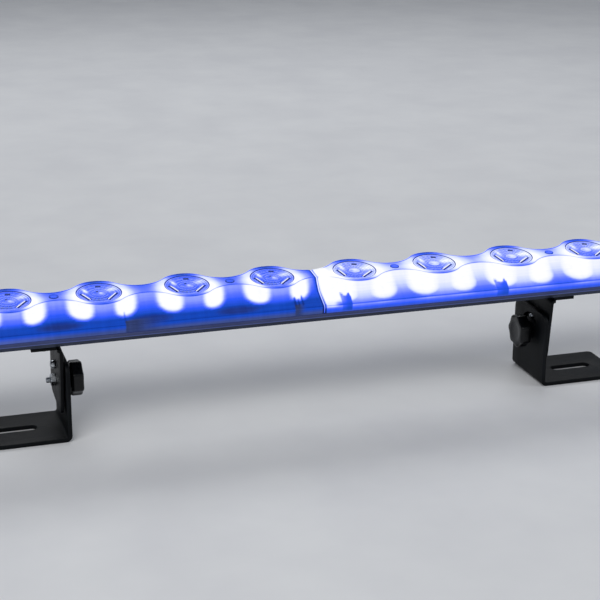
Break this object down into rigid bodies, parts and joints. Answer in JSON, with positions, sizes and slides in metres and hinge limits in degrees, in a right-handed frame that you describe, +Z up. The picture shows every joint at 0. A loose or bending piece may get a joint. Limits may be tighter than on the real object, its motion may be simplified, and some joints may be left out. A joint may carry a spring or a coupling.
{
  "type": "led strip batten",
  "caption": "Slim light bar with lensed LEDs under wavy frosted covers, tilting between two clamped L-shaped floor brackets.",
  "frame": {"origin": "on the floor under the middle of the bounding box", "axes": "+X along the bar from the input end to the output end, front of the bar towards -Y, +Z up"},
  "size_m": [1.034, 0.0792, 0.1374],
  "materials": {
    "housing_aluminium": "satin anodised extrusion",
    "frosted_cover": "frosted translucent, lit blue from inside",
    "clear_lens": "clear moulded optic",
    "white_board": "white solder mask",
    "green_board": "green circuit board",
    "psu_can": "folded sheet can",
    "black_cap": "fine moulded texture",
    "socket_plastic": "black moulded",
    "cover_screw_plastic": "blue-lit plastic cap",
    "zinc_steel": "bright zinc plate",
    "black_steel": "fine black powder coat",
    "knob_plastic": "black moulded",
    "panel_plastic": "black moulded",
    "display_plastic": "dark red window",
    "button_rubber": "dark grey key caps"
  },
  "bodies": {
    "left_foot": {"foot_bracket_left": "black_steel", "friction_washer_left": "zinc_steel"},
    "right_foot": {"foot_bracket_right": "black_steel", "friction_washer_right": "zinc_steel"},
    "left_knob": {"clamp_knob_left": "knob_plastic", "clamp_stud_left": "zinc_steel"},
    "right_knob": {"clamp_knob_right": "knob_plastic", "clamp_stud_right": "zinc_steel"},
    "button_1": {"menu_button_1": "button_rubber"},
    "button_2": {"menu_button_2": "button_rubber"},
    "button_3": {"menu_button_3": "button_rubber"},
    "button_4": {"menu_button_4": "button_rubber"},
    "bar": {"control_panel": "panel_plastic", "cover_left": "frosted_cover", "cover_right": "frosted_cover", "cover_screw_01": "cover_screw_plastic", "cover_screw_02": "cover_screw_plastic", "cover_screw_03": "cover_screw_plastic", "cover_screw_04": "cover_screw_plastic", "cover_screw_05": "cover_screw_plastic", "cover_screw_06": "cover_screw_plastic", "data_in_socket": "socket_plastic", "data_out_socket": "socket_plastic", "display_window": "display_plastic", "driver_board": "green_board", "ear_screw_left_1": "zinc_steel", "ear_screw_left_2": "zinc_steel", "ear_screw_right_1": "zinc_steel", "ear_screw_right_2": "zinc_steel", "end_cap_left": "black_cap", "end_cap_right": "black_cap", "end_screw_left_1": "zinc_steel", "end_screw_left_2": "zinc_steel", "end_screw_right_1": "zinc_steel", "end_screw_right_2": "zinc_steel", "guide_pin_left": "zinc_steel", "guide_pin_right": "zinc_steel", "housing": "housing_aluminium", "led_board_left": "white_board", "led_board_right": "white_board", "lens_01": "clear_lens", "lens_02": "clear_lens", "lens_03": "clear_lens", "lens_04": "clear_lens", "lens_05": "clear_lens", "lens_06": "clear_lens", "lens_07": "clear_lens", "lens_08": "clear_lens", "lens_09": "clear_lens", "lens_10": "clear_lens", "lens_11": "clear_lens", "lens_12": "clear_lens", "lock_nut_left": "zinc_steel", "lock_nut_right": "zinc_steel", "power_in_socket": "socket_plastic", "power_out_socket": "socket_plastic", "power_supply": "psu_can", "safety_eye": "zinc_steel", "tilt_ear_left": "black_steel", "tilt_ear_right": "black_steel"}
  },
  "joints": [
    {"name": "bar_tilt", "type": "hinge", "parent": "left_foot", "child": "bar", "pos_m": [-0.249, 0.00465, 0.05], "axis": [1, 0, 0], "range_deg": [-51, 39]},
    {"name": "right_foot_pivot", "type": "hinge", "parent": "bar", "child": "right_foot", "pos_m": [0.2445, 0.00465, 0.05], "axis": [1, 0, 0], "range_deg": [-39, 51]},
    {"name": "left_knob_turn", "type": "hinge", "parent": "left_foot", "child": "left_knob", "pos_m": [-0.235, 0.00465, 0.05], "axis": [1, 0, 0], "range_deg": [0, 270]},
    {"name": "right_knob_turn", "type": "hinge", "parent": "right_foot", "child": "right_knob", "pos_m": [0.2305, 0.00465, 0.05], "axis": [-1, 0, 0], "range_deg": [0, 270]},
    {"name": "button_1_press", "type": "slide", "parent": "bar", "child": "button_1", "axis": [0, -0.1045, 0.9945], "range_m": [0, 0.0008], "stiffness_N_per_m": 600, "springref_m": -0.0005},
    {"name": "button_2_press", "type": "slide", "parent": "bar", "child": "button_2", "axis": [0, -0.1045, 0.9945], "range_m": [0, 0.0008], "stiffness_N_per_m": 600, "springref_m": -0.0005},
    {"name": "button_3_press", "type": "slide", "parent": "bar", "child": "button_3", "axis": [0, -0.1045, 0.9945], "range_m": [0, 0.0008], "stiffness_N_per_m": 600, "springref_m": -0.0005},
    {"name": "button_4_press", "type": "slide", "parent": "bar", "child": "button_4", "axis": [0, -0.1045, 0.9945], "range_m": [0, 0.0008], "stiffness_N_per_m": 600, "springref_m": -0.0005}
  ],
  "couplings": [
    {"joint": "right_foot_pivot", "follows": "bar_tilt", "ratio": -1}
  ]
}
